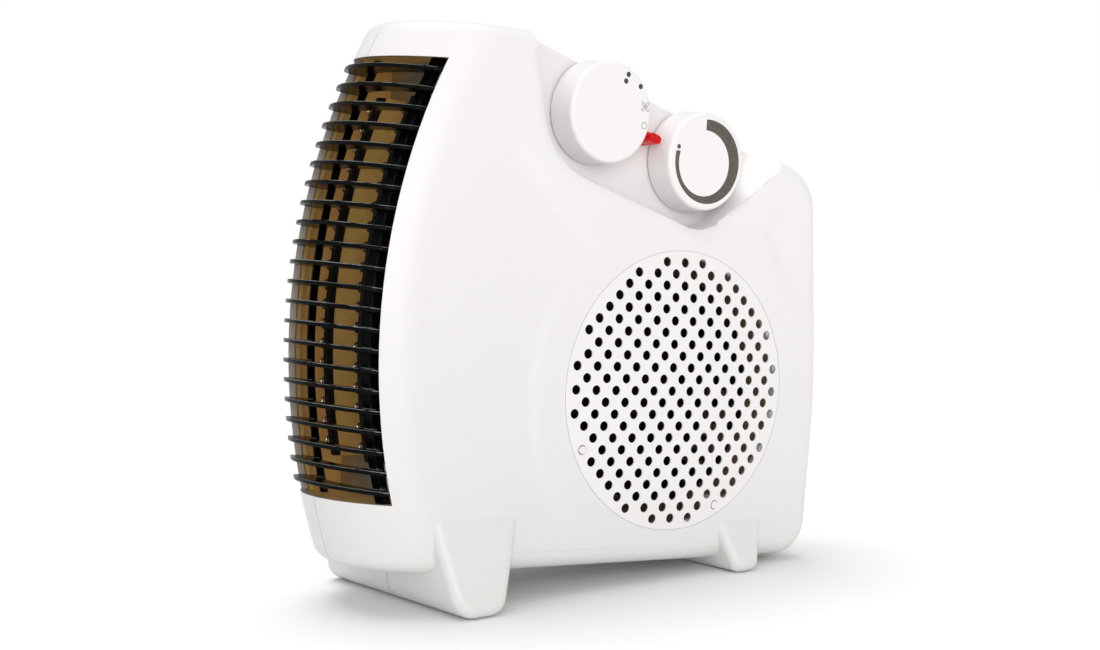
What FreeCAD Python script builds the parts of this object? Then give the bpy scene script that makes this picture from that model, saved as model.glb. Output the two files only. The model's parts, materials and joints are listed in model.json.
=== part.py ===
import FreeCAD, Part
import math
import os
import Sketcher
from types import SimpleNamespace
from FreeCAD import Placement, Rotation, Vector

# Upright fan heater. Every piece is drawn in the frame of the casing: X runs right along the
# front face, Y runs from the front face to the back, Z runs up, and the origin is the middle
# of the intake. At the end the whole casing is leant on its feet and set on the floor.

cells = {
    # casing
    "case_depth": 80.0,
    "wall": 2.5,
    "edge_round": 8.0,
    "seam_width": 0.6,
    "seam_depth": 0.5,
    "lean": 4.2,
    "floor_drop": 86.0,
    # bowed outlet end, a bullnose swept about a line parallel to Y
    "nose_reach": 33.0,
    "nose_corner": 26.0,
    "nose_sweep": 238.0,
    "nose_axis_x": 99.0,
    "nose_axis_z": 24.0,
    # front outline
    "top_height": 152.0,
    "slope_start": 84.0,
    "slope_angle": 17.0,
    "slope_blend": 45.0,
    "shoulder_round": 22.0,
    "right_reach": 91.0,
    "right_bow": 400.0,
    "right_upper_draft": 5.5,
    "right_lower_draft": 2.0,
    "bottom_drop": 78.0,
    "bottom_round": 17.0,
    # feet: toe edges left of (outer, inner) and right of the intake, toe top below it
    "left_toe_outer": 122.0,
    "left_toe_inner": 99.0,
    "left_toe_root_outer": 128.0,
    "left_toe_root_inner": 82.0,
    "left_toe_top": 55.0,
    "left_toe_round": 10.0,
    "right_toe_inner": 34.0,
    "right_toe_outer": 47.5,
    "right_toe_root_inner": 29.0,
    "right_toe_root_outer": 59.0,
    "right_toe_top": 60.0,
    "right_toe_round": 5.5,
    "left_toe_reach": 17.5,
    "right_toe_reach": 13.0,
    "toe_edge": 4.0,
    # outlet opening and its louvres: its top below the casing's, its back edge before the casing's
    "outlet_top_drop": 16.0,
    "outlet_bottom": 49.0,
    "outlet_front": 5.7,
    "outlet_back": 14.0,
    "outlet_inner": 121.0,
    "fin_count": 22,
    "fin_thickness": 1.8,
    "fin_proud": 2.0,
    "fin_depth": 11.0,
    "fin_top_margin": 4.0,
    "fin_bottom_margin": 6.0,
    "fin_tilt": 4.5,
    "fin_end_gap": 0.6,
    "fin_tip_round": 8.0,
    "rib_spacing": 40.4,
    "rib_width": 3.2,
    "rib_front": 9.0,
    "rib_back": 12.6,
    # dial scoop, its corners below the casing's top
    "scoop_depth": 18.0,
    "scoop_left": 78.0,
    "scoop_left_drop": 55.0,
    "scoop_right": 13.5,
    "scoop_right_drop": 81.6,
    "scoop_side_slope": 12.0,
    "scoop_wall_slope": 9.0,
    "scoop_end_gap": 2.0,
    "scoop_end_angle": 38.0,
    "scoop_floor_angle": 50.0,
    "scoop_left_round": 35.0,
    "scoop_right_round": 22.0,
    "scoop_floor_round": 4.0,
    # dials
    "dial_x": 44.3,
    "dial_drop": 30.5,
    "dial_spacing": 58.9,
    "dial_face": 3.0,
    "dial_radius": 23.0,
    "dial_draft": 0.8,
    "dial_height": 14.0,
    "dial_wall": 2.2,
    "dial_edge": 2.0,
    "hub_radius": 5.5,
    "spindle_radius": 3.0,
    "fit": 0.05,
    "clearance": 0.3,
    "neck_radius": 4.0,
    "neck_length": 3.0,
    "nut_radius": 6.5,
    "nut_height": 2.4,
    "switch_radius": 13.0,
    "switch_depth": 16.0,
    "tab_width": 4.8,
    "tab_length": 7.0,
    "tab_thickness": 0.8,
    # lens and lamp
    "lens_length": 9.6,
    "lens_width": 5.8,
    "lens_tip": 2.8,
    "lens_shoulder": 2.6,
    "lens_top": 7.5,
    "lens_stem": 2.6,
    "lamp_radius": 2.6,
    "lamp_length": 13.0,
    # intake
    "intake_step": 5.25,
    "intake_reach": 11.2,
    "intake_hole": 2.15,
    "grille_radius": 63.0,
    "grille_dome": 3.0,
    "grille_thickness": 1.5,
    "grille_gap": 0.3,
    "seat_width": 2.5,
    "seat_depth": 1.6,
    "seat_ring": 4.0,
    "seat_ring_depth": 1.5,
    "pin_radius": 1.75,
    "pin_length": 5.5,
    "lug_radius": 4.5,
    "lug_depth": 3.5,
    # fan and motor
    "fan_radius": 52.0,
    "fan_front": 12.0,
    "fan_width": 28.0,
    "fan_plate": 1.5,
    "fan_ring": 4.0,
    "fan_blades": 30,
    "blade_inner": 39.0,
    "blade_thickness": 1.2,
    "blade_lead": 5.0,
    "fan_hub": 7.0,
    "fan_hub_length": 14.0,
    "shaft_radius": 1.6,
    "shaft_length": 44.5,
    "motor_radius": 22.0,
    "motor_length": 21.5,
    "motor_sheet": 1.6,
    "bearing_radius": 6.0,
    "bearing_length": 2.5,
    "rotor_radius": 16.5,
    "rotor_length": 13.0,
    "magnet_thickness": 2.6,
    "bracket_front": 44.0,
    "bracket_sheet": 1.5,
    "bracket_height": 18.0,
    "bracket_post": 45.0,
    "motor_screw_x": 12.0,
    # air guide
    "scroll_radius": 60.0,
    "scroll_growth": 3.5,
    "scroll_sheet": 1.5,
    "scroll_exit": 12.0,
    "scroll_tongue": 150.0,
    # liner and heating element
    "liner_sheet": 0.6,
    "liner_end": 100.0,
    "liner_lap": 1.0,
    "liner_hem": 3.0,
    "element_bow": 246.6,
    "element_back": 104.0,
    "board_thickness": 1.2,
    "front_board_y": 34.0,
    "rear_board_back": 18.0,
    "rail_width": 3.0,
    "rail_depth": 3.0,
    "end_plate_sheet": 1.0,
    "end_plate_inset": 15.0,
    "end_plate_margin": 11.0,
    "end_plate_setback": 2.8,
    "wire_radius": 0.6,
    "wire_rows": 36,
    "wire_margin": 4.0,
    "wire_overhang": 1.0,
    "cutout_radius": 7.0,
    "cutout_height": 6.0,
    "fuse_radius": 2.0,
    "fuse_length": 12.0,
    # fastenings
    "post_radius": 4.2,
    "post_seat": 6.0,
    "counterbore": 3.6,
    "screw_radius": 1.4,
    "screw_hole": 1.7,
    "screw_head": 3.2,
    "screw_head_height": 2.2,
    "screw_reach": 12.0,
    "small_screw": 1.1,
    "small_head": 2.4,
    "small_head_height": 1.4,
    # mains entry
    "gland_x": 64.0,
    "gland_drop": 52.0,
    "gland_bore": 3.6,
    "gland_radius": 5.8,
    "gland_flange": 9.0,
    "gland_flange_depth": 3.0,
    "gland_length": 14.0,
    "clamp_length": 27.0,
    "clamp_width": 8.0,
    "clamp_thickness": 3.0,
    "clamp_height": 10.0,
    "clamp_spacing": 20.0,
    "terminal_x": 67.5,
    "terminal_width": 14.0,
    "terminal_depth": 18.0,
    "terminal_height": 34.0,
    "terminal_hole": 2.0,
}

doc = FreeCAD.newDocument("fan_heater")
sheet = doc.addObject("Spreadsheet::Sheet", "sizes")
for row, (alias, size) in enumerate(cells.items(), start=1):
    sheet.set(f"A{row}", alias)
    sheet.set(f"B{row}", str(size))
    sheet.setAlias(f"B{row}", alias)
doc.recompute()


class Measure:
    # a number together with the formula over the sheet that gives it

    def __init__(self, number, formula):
        self.number = number
        self.formula = formula

    def __float__(self):
        return self.number

    def __add__(self, other):
        other = measure(other)
        return Measure(self.number + other.number, f"({self.formula} + {other.formula})")

    def __sub__(self, other):
        other = measure(other)
        return Measure(self.number - other.number, f"({self.formula} - {other.formula})")

    def __mul__(self, other):
        other = measure(other)
        return Measure(self.number * other.number, f"({self.formula} * {other.formula})")

    def __truediv__(self, other):
        other = measure(other)
        return Measure(self.number / other.number, f"({self.formula} / {other.formula})")

    def __neg__(self):
        return Measure(-self.number, f"(0 - {self.formula})")

    def __radd__(self, other):
        return measure(other) + self

    def __rsub__(self, other):
        return measure(other) - self

    def __rmul__(self, other):
        return measure(other) * self


def measure(thing):
    if isinstance(thing, Measure):
        return thing
    return Measure(float(thing), f"({float(thing):.6f})")


s = SimpleNamespace(**{alias: Measure(float(sheet.get(alias)), f"sizes.{alias}") for alias in cells})
n = SimpleNamespace(**{alias: float(sheet.get(alias)) for alias in cells})
mid = s.case_depth / 2
outlet_top = s.top_height - s.outlet_top_drop
outlet_back = s.case_depth - s.outlet_back
rear_board_y = s.case_depth - s.rear_board_back
along_y = Rotation(Vector(1, 0, 0), -90)
along_x = Rotation(Vector(0, 1, 0), 90)
upright = Rotation()
pieces = []


def bind(item, **sizes):
    for field, size in sizes.items():
        item.setExpression(field, measure(size).formula)


def locate(item, x, y, z, turn=upright):
    item.Placement = Placement(Vector(float(x), float(y), float(z)), turn)
    for field, size in (("x", x), ("y", y), ("z", z)):
        item.setExpression(f"Placement.Base.{field}", measure(size).formula)
    return item


def block(name, length, width, height, x, y, z):
    item = doc.addObject("Part::Box", name)
    bind(item, Length=length, Width=width, Height=height)
    return locate(item, x, y, z)


def rod(name, radius, length, x, y, z, turn=along_y):
    item = doc.addObject("Part::Cylinder", name)
    bind(item, Radius=radius, Height=length)
    return locate(item, x, y, z, turn)


def hexagon(name, radius, length, x, y, z):
    item = doc.addObject("Part::Prism", name)
    item.Polygon = 6
    bind(item, Circumradius=radius, Height=length)
    return locate(item, x, y, z, along_y)


def fuse(name, items):
    item = doc.addObject("Part::MultiFuse", name)
    item.Shapes = items
    return item


def cut(name, base, tools):
    item = doc.addObject("Part::Cut", name)
    item.Base = base
    item.Tool = tools[0] if len(tools) == 1 else fuse(name + "_tools", tools)
    return item


def group(name, items):
    item = doc.addObject("Part::Compound", name)
    item.Links = items
    return item


def form(name, shape):
    item = doc.addObject("Part::Feature", name)
    item.Shape = shape
    return item


def piece(item, at=None):
    item.Label = item.Name
    pieces.append((item, at or Placement()))
    return item


# Sketch helpers for the bodies


def new_sketch(body, name, role):
    sketch = body.newObject("Sketcher::SketchObject", name)
    plane = [feature for feature in body.Origin.OriginFeatures if feature.Role == role][0]
    sketch.AttachmentSupport = (plane, [""])
    sketch.MapMode = "FlatFace"
    return sketch


def fix_point(sketch, geometry, point, x, y):
    for kind, size in (("DistanceX", x), ("DistanceY", y)):
        size = measure(size)
        index = sketch.addConstraint(Sketcher.Constraint(kind, -1, 1, geometry, point, size.number))
        sketch.setExpression(f"Constraints[{index}]", size.formula)


def draw_polygon(sketch, corners):
    places = [Vector(float(x), float(y), 0) for x, y in corners]
    first = sketch.GeometryCount
    for start, end in zip(places, places[1:] + places[:1]):
        sketch.addGeometry(Part.LineSegment(start, end), False)
    count = len(corners)
    for index in range(count):
        sketch.addConstraint(
            Sketcher.Constraint("Coincident", first + index, 2, first + (index + 1) % count, 1)
        )
    for index, (x, y) in enumerate(corners):
        fix_point(sketch, first + index, 1, x, y)


def draw_circle(sketch, x, y, radius):
    circle = Part.Circle(Vector(float(x), float(y), 0), Vector(0, 0, 1), float(radius))
    index = sketch.addGeometry(circle, False)
    fix_point(sketch, index, 3, x, y)
    size = measure(radius)
    constraint = sketch.addConstraint(Sketcher.Constraint("Radius", index, size.number))
    sketch.setExpression(f"Constraints[{constraint}]", size.formula)


def turned_body(name, corners):
    body = doc.addObject("PartDesign::Body", name)
    sketch = new_sketch(body, name + "_profile", "XY_Plane")
    draw_polygon(sketch, corners)
    turning = body.newObject("PartDesign::Revolution", name + "_turning")
    turning.Profile = sketch
    turning.ReferenceAxis = (sketch, ["V_Axis"])
    turning.Angle = 360
    doc.recompute()
    body.Tip = turning
    return body


def pad(body, sketch, length, backwards):
    # sketches on the XZ plane face the front, so a pad towards the back is a reversed one
    item = body.newObject("PartDesign::Pad", sketch.Name + "_pad")
    item.Profile = sketch
    bind(item, Length=length)
    item.Reversed = backwards
    doc.recompute()
    body.Tip = item
    return item


# Outline helpers: corners run anticlockwise seen from the front, as (x, z, radius)


def inset_corner(before, corner, after, shift_in, shift_out):
    first = Vector(corner[0] - before[0], 0, corner[1] - before[1]).normalize()
    second = Vector(after[0] - corner[0], 0, after[1] - corner[1]).normalize()
    turn = first.x * second.z - first.z * second.x
    start = Vector(before[0] - first.z * shift_in, 0, before[1] + first.x * shift_in)
    end = Vector(corner[0] - second.z * shift_out, 0, corner[1] + second.x * shift_out)
    along = ((end.x - start.x) * second.z - (end.z - start.z) * second.x) / turn
    shift = (shift_in + shift_out) / 2
    radius = corner[2]
    if radius > 0:
        radius = max(radius - math.copysign(shift, turn), 0.2)
    return start + first * along, first, second, radius


def rounded_wire(corners, insets, y):
    count = len(corners)
    edges = []
    ends = []
    for index, corner in enumerate(corners):
        before = corners[index - 1]
        after = corners[(index + 1) % count]
        tip, first, second, radius = inset_corner(before, corner, after, insets[index - 1], insets[index])
        tip.y = y
        if radius == 0:
            ends.append((tip, None, tip))
            continue
        half_turn = first.getAngle(second) / 2
        reach = radius * math.tan(half_turn)
        inward = (second - first).normalize()
        crown = tip + inward * (radius / math.cos(half_turn) - radius)
        ends.append((tip - first * reach, crown, tip + second * reach))
    for index, (start, crown, end) in enumerate(ends):
        if crown is not None:
            edges.append(Part.Arc(start, crown, end).toShape())
        following = ends[(index + 1) % count][0]
        edges.append(Part.makeLine(end, following))
    return Part.Wire(edges)


def prism(corners, inset, start, end):
    wire = rounded_wire(corners, [inset] * len(corners), start)
    return Part.Face(wire).extrude(Vector(0, end - start, 0))


def floor_at(x):
    return math.tan(math.radians(n.lean)) * x - n.floor_drop


def casing_corners():
    slope = math.tan(math.radians(n.slope_angle))
    upper = math.tan(math.radians(n.right_upper_draft))
    lower = math.tan(math.radians(n.right_lower_draft))
    shoulder_z = (n.top_height - slope * (n.right_reach + n.slope_start)) / (1 - slope * upper)
    shoulder_x = n.right_reach - upper * shoulder_z
    far = n.nose_axis_x - n.nose_sweep - 2 * n.nose_reach
    return [
        (far, -n.bottom_drop, 0),
        (n.right_reach - lower * n.bottom_drop, -n.bottom_drop, n.bottom_round),
        (n.right_reach, 0, n.right_bow),
        (shoulder_x, shoulder_z, n.shoulder_round),
        (-n.slope_start, n.top_height, n.slope_blend),
        (far, n.top_height, 0),
    ]


def nose_disc(inset, setback=0):
    # the plan of the bowed end, three arcs of a flat arch, swept about its axis
    sweep = n.nose_sweep - setback
    reach = n.nose_reach
    small = n.nose_corner
    half = n.case_depth / 2
    large = (reach**2 + half**2 - 2 * half * small) / (2 * (reach - small))
    front_centre = Vector(sweep, small, 0)
    back_centre = Vector(sweep, n.case_depth - small, 0)
    large_centre = Vector(sweep + reach - large, half, 0)
    front_way = (front_centre - large_centre).normalize()
    back_way = (back_centre - large_centre).normalize()
    radius = small - inset
    front = front_centre + Vector(0, -radius, 0)
    front_join = front_centre + front_way * radius
    front_crown = front_centre + (front_way + Vector(0, -1, 0)).normalize() * radius
    back = back_centre + Vector(0, radius, 0)
    back_join = back_centre + back_way * radius
    back_crown = back_centre + (back_way + Vector(0, 1, 0)).normalize() * radius
    crown = Vector(sweep + reach - inset, half, 0)
    foot = Vector(0, front.y, 0)
    head = Vector(0, back.y, 0)
    edges = [
        Part.makeLine(foot, front),
        Part.Arc(front, front_crown, front_join).toShape(),
        Part.Arc(front_join, crown, back_join).toShape(),
        Part.Arc(back_join, back_crown, back).toShape(),
        Part.makeLine(back, head),
        Part.makeLine(head, foot),
    ]
    disc = Part.Face(Part.Wire(edges)).revolve(Vector(), Vector(0, 1, 0), 360)
    disc.translate(Vector(n.nose_axis_x, 0, n.nose_axis_z))
    return disc


def is_side(face):
    surface = face.Surface
    if isinstance(surface, Part.Plane):
        return abs(surface.Axis.y) < 0.5
    return isinstance(surface, Part.Cylinder)


def casing_block(inset):
    body = prism(casing_corners(), inset, 0, n.case_depth).common(nose_disc(inset))
    rims = []
    for edge in body.Edges:
        sides = [is_side(face) for face in body.ancestorsOfType(edge, Part.Face)]
        if sum(sides) == 1:
            rims.append(edge)
    return body.makeFillet(n.edge_round - inset, rims)


def toe_block(corners, top, reach, inset):
    depth = n.case_depth
    low = min(corner[1] for corner in corners)
    bar = prism(corners, inset, -reach, depth + reach)
    lean = Vector(0, reach, -low - top).normalize()
    front = -reach + inset / lean.z
    profile = [
        Vector(-500, front, low),
        Vector(-500, front + reach, -top),
        Vector(-500, depth - front - reach, -top),
        Vector(-500, depth - front, low),
    ]
    slab = Part.Face(Part.makePolygon(profile + profile[:1])).extrude(Vector(1000, 0, 0))
    toe = bar.common(slab)
    if inset == 0:
        rims = []
        for edge in toe.Edges:
            faces = toe.ancestorsOfType(edge, Part.Face)
            leaning = [face for face in faces if isinstance(face.Surface, Part.Plane)
                       and abs(face.Surface.Axis.y) > 0.5]
            if len(leaning) == 1 and edge.CenterOfMass.z < -top - 1:
                rims.append(edge)
        toe = toe.makeFillet(n.toe_edge, rims)
    return toe


def left_toe(inset):
    corners = [
        (-n.left_toe_outer, floor_at(-n.left_toe_outer), n.left_toe_round),
        (-n.left_toe_inner, floor_at(-n.left_toe_inner), n.left_toe_round),
        (-n.left_toe_root_inner, -n.left_toe_top, 0),
        (-n.left_toe_root_outer, -n.left_toe_top, 0),
    ]
    return toe_block(corners, n.left_toe_top, n.left_toe_reach, inset)


def right_toe(inset):
    corners = [
        (n.right_toe_inner, floor_at(n.right_toe_inner), n.right_toe_round),
        (n.right_toe_outer, floor_at(n.right_toe_outer), n.right_toe_round),
        (n.right_toe_root_outer, -n.right_toe_top, 0),
        (n.right_toe_root_inner, -n.right_toe_top, 0),
    ]
    return toe_block(corners, n.right_toe_top, n.right_toe_reach, inset)


def crossing(first, first_way, second, second_way):
    gap = second - first
    turn = first_way.x * second_way.z - first_way.z * second_way.x
    return first + first_way * ((gap.x * second_way.z - gap.z * second_way.x) / turn)


def scoop_end(share, high):
    # the end wall's lower and upper end, from the front lip (share 0) to the floor (share 1):
    # steep beside the second dial, and easing into a ramp above it
    left = Vector(-n.scoop_left, 0, n.top_height - n.scoop_left_drop)
    corner = Vector(n.scoop_right, 0, n.top_height - n.scoop_right_drop)
    lip_turn = math.radians(n.scoop_end_angle)
    floor_turn = math.radians(n.scoop_floor_angle)
    lip_way = Vector(math.cos(lip_turn), 0, math.sin(lip_turn))
    floor_way = Vector(math.cos(floor_turn), 0, math.sin(floor_turn))
    x, z = dial_places()[1]
    clear = n.dial_radius + n.scoop_end_gap
    beside = Vector(float(x) + floor_way.z * clear, 0, float(z) - floor_way.x * clear)
    floor_corner = crossing(left, corner - left, beside, floor_way)
    lip_far = crossing(corner, lip_way, Vector(0, 0, high), Vector(1, 0, 0))
    floor_far = crossing(beside, floor_way, Vector(0, 0, high), Vector(1, 0, 0))
    return corner + (floor_corner - corner) * share, lip_far + (floor_far - lip_far) * share


def scoop_block(grow):
    high = n.top_height + 60
    left_rise = n.top_height - n.scoop_left_drop
    left_far = -n.scoop_left - math.tan(math.radians(n.scoop_side_slope)) * (high - left_rise)
    wires = []
    front = -2 * n.grille_dome
    for y in (front, n.scoop_depth + grow):
        side = y * math.tan(math.radians(n.scoop_wall_slope)) - grow
        low_end, high_end = scoop_end(y / n.scoop_depth, high)
        corners = [
            (-n.scoop_left, left_rise, n.scoop_left_round),
            (low_end.x, low_end.z, n.scoop_right_round),
            (high_end.x, high_end.z, 0),
            (left_far, high, 0),
        ]
        wires.append(rounded_wire(corners, [side, -grow, -grow, side], y))
    scoop = Part.makeLoft(wires, True, True)
    floor = [edge for edge in scoop.Edges
             if abs(edge.BoundBox.YMin - n.scoop_depth - grow) < 1e-6 and edge.BoundBox.ZMax < high - 1]
    return scoop.makeFillet(n.scoop_floor_round + grow, floor)


def span(x_from, x_to, y_from, y_to, z_from, z_to):
    corner = Vector(x_from, y_from, z_from)
    return Part.makeBox(x_to - x_from, y_to - y_from, z_to - z_from, corner)


def casing_skins():
    far = 1000
    half = n.case_depth / 2
    outer = casing_block(0).fuse([left_toe(0), right_toe(0)]).cut(scoop_block(0))
    hollow = casing_block(n.wall).fuse([left_toe(n.wall), right_toe(n.wall)])
    hollow = hollow.cut(scoop_block(n.wall))
    skin = outer.cut(hollow)
    back = float(outlet_back)
    outlet = span(-far, -n.outlet_inner, n.outlet_front, back, -n.outlet_bottom, float(outlet_top))
    groove = span(-far, far, half - n.seam_width / 2, half + n.seam_width / 2, -far, far)
    skin = skin.cut(outlet).cut(groove.cut(casing_block(n.seam_depth)))
    front = skin.common(span(-far, far, -far, half, -far, far))
    rear = skin.common(span(-far, far, half, far, -far, far))
    return form("front_skin", front), form("rear_skin", rear)


def post_places():
    return [
        (-(s.slope_start + 10), s.top_height - 9),
        (s.right_reach - 17, outlet_top - 55),
        (s.right_reach - 15, -(s.bottom_drop - 16)),
        (-(s.left_toe_root_inner + 2), -(s.bottom_drop - 15)),
    ]


def dial_places():
    turn = math.radians(n.slope_angle)
    across = s.dial_spacing * math.cos(turn)
    down = s.dial_spacing * math.sin(turn)
    height = s.top_height - s.dial_drop
    return [(-s.dial_x, height), (across - s.dial_x, height - down)]


def lens_place():
    (x_one, z_one), (x_two, z_two) = dial_places()
    return (x_one + x_two) / 2, (z_one + z_two) / 2


def pin_places():
    step = s.intake_step
    return [(step * -10, step * -5), (step * 5, step * -10)]


def front_shell(skin):
    ring = s.grille_radius + s.seat_ring
    solids = [skin, rod("seat_ring_boss", ring, s.seat_ring_depth, 0, s.wall, 0)]
    holes = []
    for index, (x, z) in enumerate(post_places()):
        solids.append(rod(f"front_post_{index}", s.post_radius, mid - s.wall + 1, x, s.wall - 1, z))
        holes.append(rod(f"front_pilot_{index}", s.screw_radius + s.fit, s.screw_reach + 2,
                         x, mid - s.screw_reach - 2, z))
    seat = s.grille_radius + s.grille_gap
    deep = s.wall + s.seat_ring_depth + 20
    bores = [
        rod("seat_recess", seat, s.seat_depth + 10, 0, -10, 0),
        rod("seat_bore", s.grille_radius - s.seat_width, deep, 0, -10, 0),
    ]
    bored = cut("bored_front", fuse("solid_front", solids), bores)
    lugs = []
    for index, (x, z) in enumerate(pin_places()):
        lugs.append(rod(f"pin_lug_{index}", s.lug_radius, s.lug_depth, x, s.seat_depth, z))
        holes.append(rod(f"pin_socket_{index}", s.pin_radius + s.fit, 20, x, -5, z))
    for index, (x, z) in enumerate(dial_places()):
        holes.append(rod(f"neck_hole_{index}", s.neck_radius + s.clearance, 20, x, s.scoop_depth - 8, z))
    x, z = lens_place()
    holes.append(rod("lens_hole", s.lens_stem + s.clearance, 20, x, s.scoop_depth - 8, z))
    lugged = fuse("lugged_front", [bored] + lugs)
    return piece(cut("front_shell", lugged, holes))


def clamp_places():
    half = s.clamp_spacing / 2
    return [(s.gland_x, -s.gland_drop - half), (s.gland_x, -s.gland_drop + half)]


def rear_shell(skin):
    solids = [skin]
    holes = []
    back = s.case_depth
    for index, (x, z) in enumerate(post_places()):
        solids.append(rod(f"rear_post_{index}", s.post_radius + s.wall / 2, mid - s.wall + 1, x, mid, z))
        holes.append(rod(f"rear_way_{index}", s.screw_hole, s.post_seat + 2, x, mid - 1, z))
        holes.append(rod(f"rear_recess_{index}", s.counterbore, mid, x, mid + s.post_seat, z))
    seat = s.bracket_front + s.bracket_sheet
    for index, x in enumerate((-s.bracket_post, s.bracket_post)):
        solids.append(rod(f"bracket_post_{index}", s.post_radius, back - s.wall + 1 - seat, x, seat, 0))
        holes.append(rod(f"bracket_pilot_{index}", s.screw_radius + s.fit, s.screw_reach + 2, x, seat - 1, 0))
    top = back - s.wall - s.clamp_height
    for index, (x, z) in enumerate(clamp_places()):
        solids.append(rod(f"clamp_post_{index}", s.post_radius - 1, s.clamp_height + 1, x, top, z))
        holes.append(rod(f"clamp_pilot_{index}", s.small_screw + s.fit, s.clamp_height, x, top - 1, z))
    holes.append(rod("gland_hole", s.gland_radius + s.fit * 2, 20, s.gland_x, back - 10, -s.gland_drop))
    return piece(cut("rear_shell", fuse("solid_rear", solids), holes))


def intake_grille():
    radius = n.grille_radius
    bow = (radius**2 + n.grille_dome**2) / (2 * n.grille_dome)
    turn = math.asin(radius / bow) / 2
    crown = Vector(0, -n.grille_dome, 0)
    shoulder = Vector(bow * math.sin(turn), bow - n.grille_dome - bow * math.cos(turn), 0)
    rim = Vector(radius, 0, 0)
    thick = Vector(0, n.grille_thickness, 0)
    profile = Part.Wire([
        Part.Arc(crown, shoulder, rim).toShape(),
        Part.makeLine(rim, rim + thick),
        Part.Arc(rim + thick, shoulder + thick, crown + thick).toShape(),
        Part.makeLine(crown + thick, crown),
    ])
    dome = Part.Face(profile).revolve(Vector(), Vector(0, 1, 0), 360)
    # every second crossing of a square lattice inside the pattern's circle
    holes = []
    reach = int(n.intake_reach)
    for row in range(-reach, reach + 1):
        for column in range(-reach, reach + 1):
            if (row + column) % 2 == 1 and row**2 + column**2 <= n.intake_reach**2:
                place = Vector(column * n.intake_step, -10, row * n.intake_step)
                holes.append(Part.makeCylinder(n.intake_hole, 20, place, Vector(0, 1, 0)))
    return piece(form("intake_grille", dome.cut(holes)))


def grille_pins():
    pins = []
    for index, (x, z) in enumerate(pin_places()):
        pins.append(rod(f"grille_pin_{index}", s.pin_radius, s.pin_length, x, -0.9, z))
    return piece(group("grille_pins", pins))


def nose_x(inset, z):
    reach = n.nose_sweep + n.nose_reach - inset
    return n.nose_axis_x - math.sqrt(reach**2 - (z - n.nose_axis_z) ** 2)


def outlet_grille():
    front = n.outlet_front + n.fin_end_gap
    back = float(outlet_back) - n.fin_end_gap
    window = span(-1000, -n.outlet_inner, front, back, -1000, 1000)
    envelope = nose_disc(0, -n.fin_proud).cut(nose_disc(0, n.fin_depth)).common(window)
    ends = [edge for edge in envelope.Edges if edge.BoundBox.YMin > back - 1e-3]
    tip = max(ends, key=lambda edge: edge.BoundBox.ZLength - edge.BoundBox.XMin)
    envelope = envelope.makeFillet(n.fin_tip_round, [tip])
    plates = []
    count = int(n.fin_count)
    first = float(outlet_top) - n.fin_top_margin
    pitch = (first + n.outlet_bottom - n.fin_bottom_margin) / (count - 1)
    tilt = Rotation(Vector(0, 1, 0), n.fin_tilt)
    for index in range(count):
        z = first - index * pitch
        plate = doc.addObject("Part::Box", f"fin_plate_{index}")
        bind(plate, Length=120, Width=s.case_depth, Height=s.fin_thickness)
        middle = Placement(Vector(-60, 0, -n.fin_thickness / 2), upright)
        plate.Placement = Placement(Vector(nose_x(0, z), 0, z), tilt).multiply(middle)
        plates.append(plate)
    fins = doc.addObject("Part::Common", "fins")
    fins.Base = form("fin_envelope", envelope)
    fins.Tool = group("fin_plates", plates)
    rib_ring = nose_disc(0, n.rib_front).cut(nose_disc(0, n.rib_back))
    bars = []
    middle = (s.outlet_front + outlet_back) / 2
    for index, side in enumerate((-0.5, 0.5)):
        bars.append(block(f"rib_bar_{index}", 200, s.rib_width, outlet_top + s.outlet_bottom + 1,
                          -300, middle + s.rib_spacing * side - s.rib_width / 2, -s.outlet_bottom - 0.5))
    ribs = doc.addObject("Part::Common", "ribs")
    ribs.Base = form("rib_envelope", rib_ring)
    ribs.Tool = group("rib_bars", bars)
    return piece(fuse("outlet_grille", [fins, ribs]))


def heat_liner():
    gap = n.wall + n.clearance
    sheet_metal = n.liner_sheet
    edge = float(outlet_back) + n.liner_lap
    low = -n.outlet_bottom - 0.8
    high = float(outlet_top) + 0.8
    around = span(-1000, -n.liner_end, -1000, 1000, low - sheet_metal, high + sheet_metal)
    outside = nose_disc(gap).common(around)
    inside = nose_disc(gap + sheet_metal).common(span(-1000, -n.liner_end + 1, -1000, 1000, low, high))
    mouth = span(-1000, -n.outlet_inner, n.outlet_front, edge, low, high)
    hem = nose_disc(gap + sheet_metal).cut(nose_disc(gap + 2 * sheet_metal))
    hem = hem.common(span(-1000, -n.outlet_inner, edge, edge + n.liner_hem, low, high))
    return piece(form("heat_liner", outside.cut(inside).cut(mouth).fuse(hem).removeSplitter()))


def element_ends():
    top = outlet_top + 0.8 - s.clearance - s.end_plate_inset
    bottom = -s.outlet_bottom - 0.8 + s.clearance + s.end_plate_inset
    return bottom, top


def bow_at(radius, z):
    # how far left a bow of this radius about the nose's axis reaches at height z
    rise = z - s.nose_axis_z
    square = radius * radius - rise * rise
    return s.nose_axis_x - Measure(math.sqrt(square.number), f"sqrt({square.formula})")


def bowed_bar(name, outer, inner, y, thickness, bottom, top):
    # a flat bar or board on edge, bowed as the outlet is
    start = Vector(n.nose_axis_x, y - thickness / 2, n.nose_axis_z)
    ring = Part.makeCylinder(outer, thickness, start, Vector(0, 1, 0))
    if inner:
        ring = ring.cut(Part.makeCylinder(inner, thickness, start, Vector(0, 1, 0)))
    window = span(-1000, -n.element_back, -1000, 1000, bottom.number, top.number)
    return piece(form(name, ring.common(window)))


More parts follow.
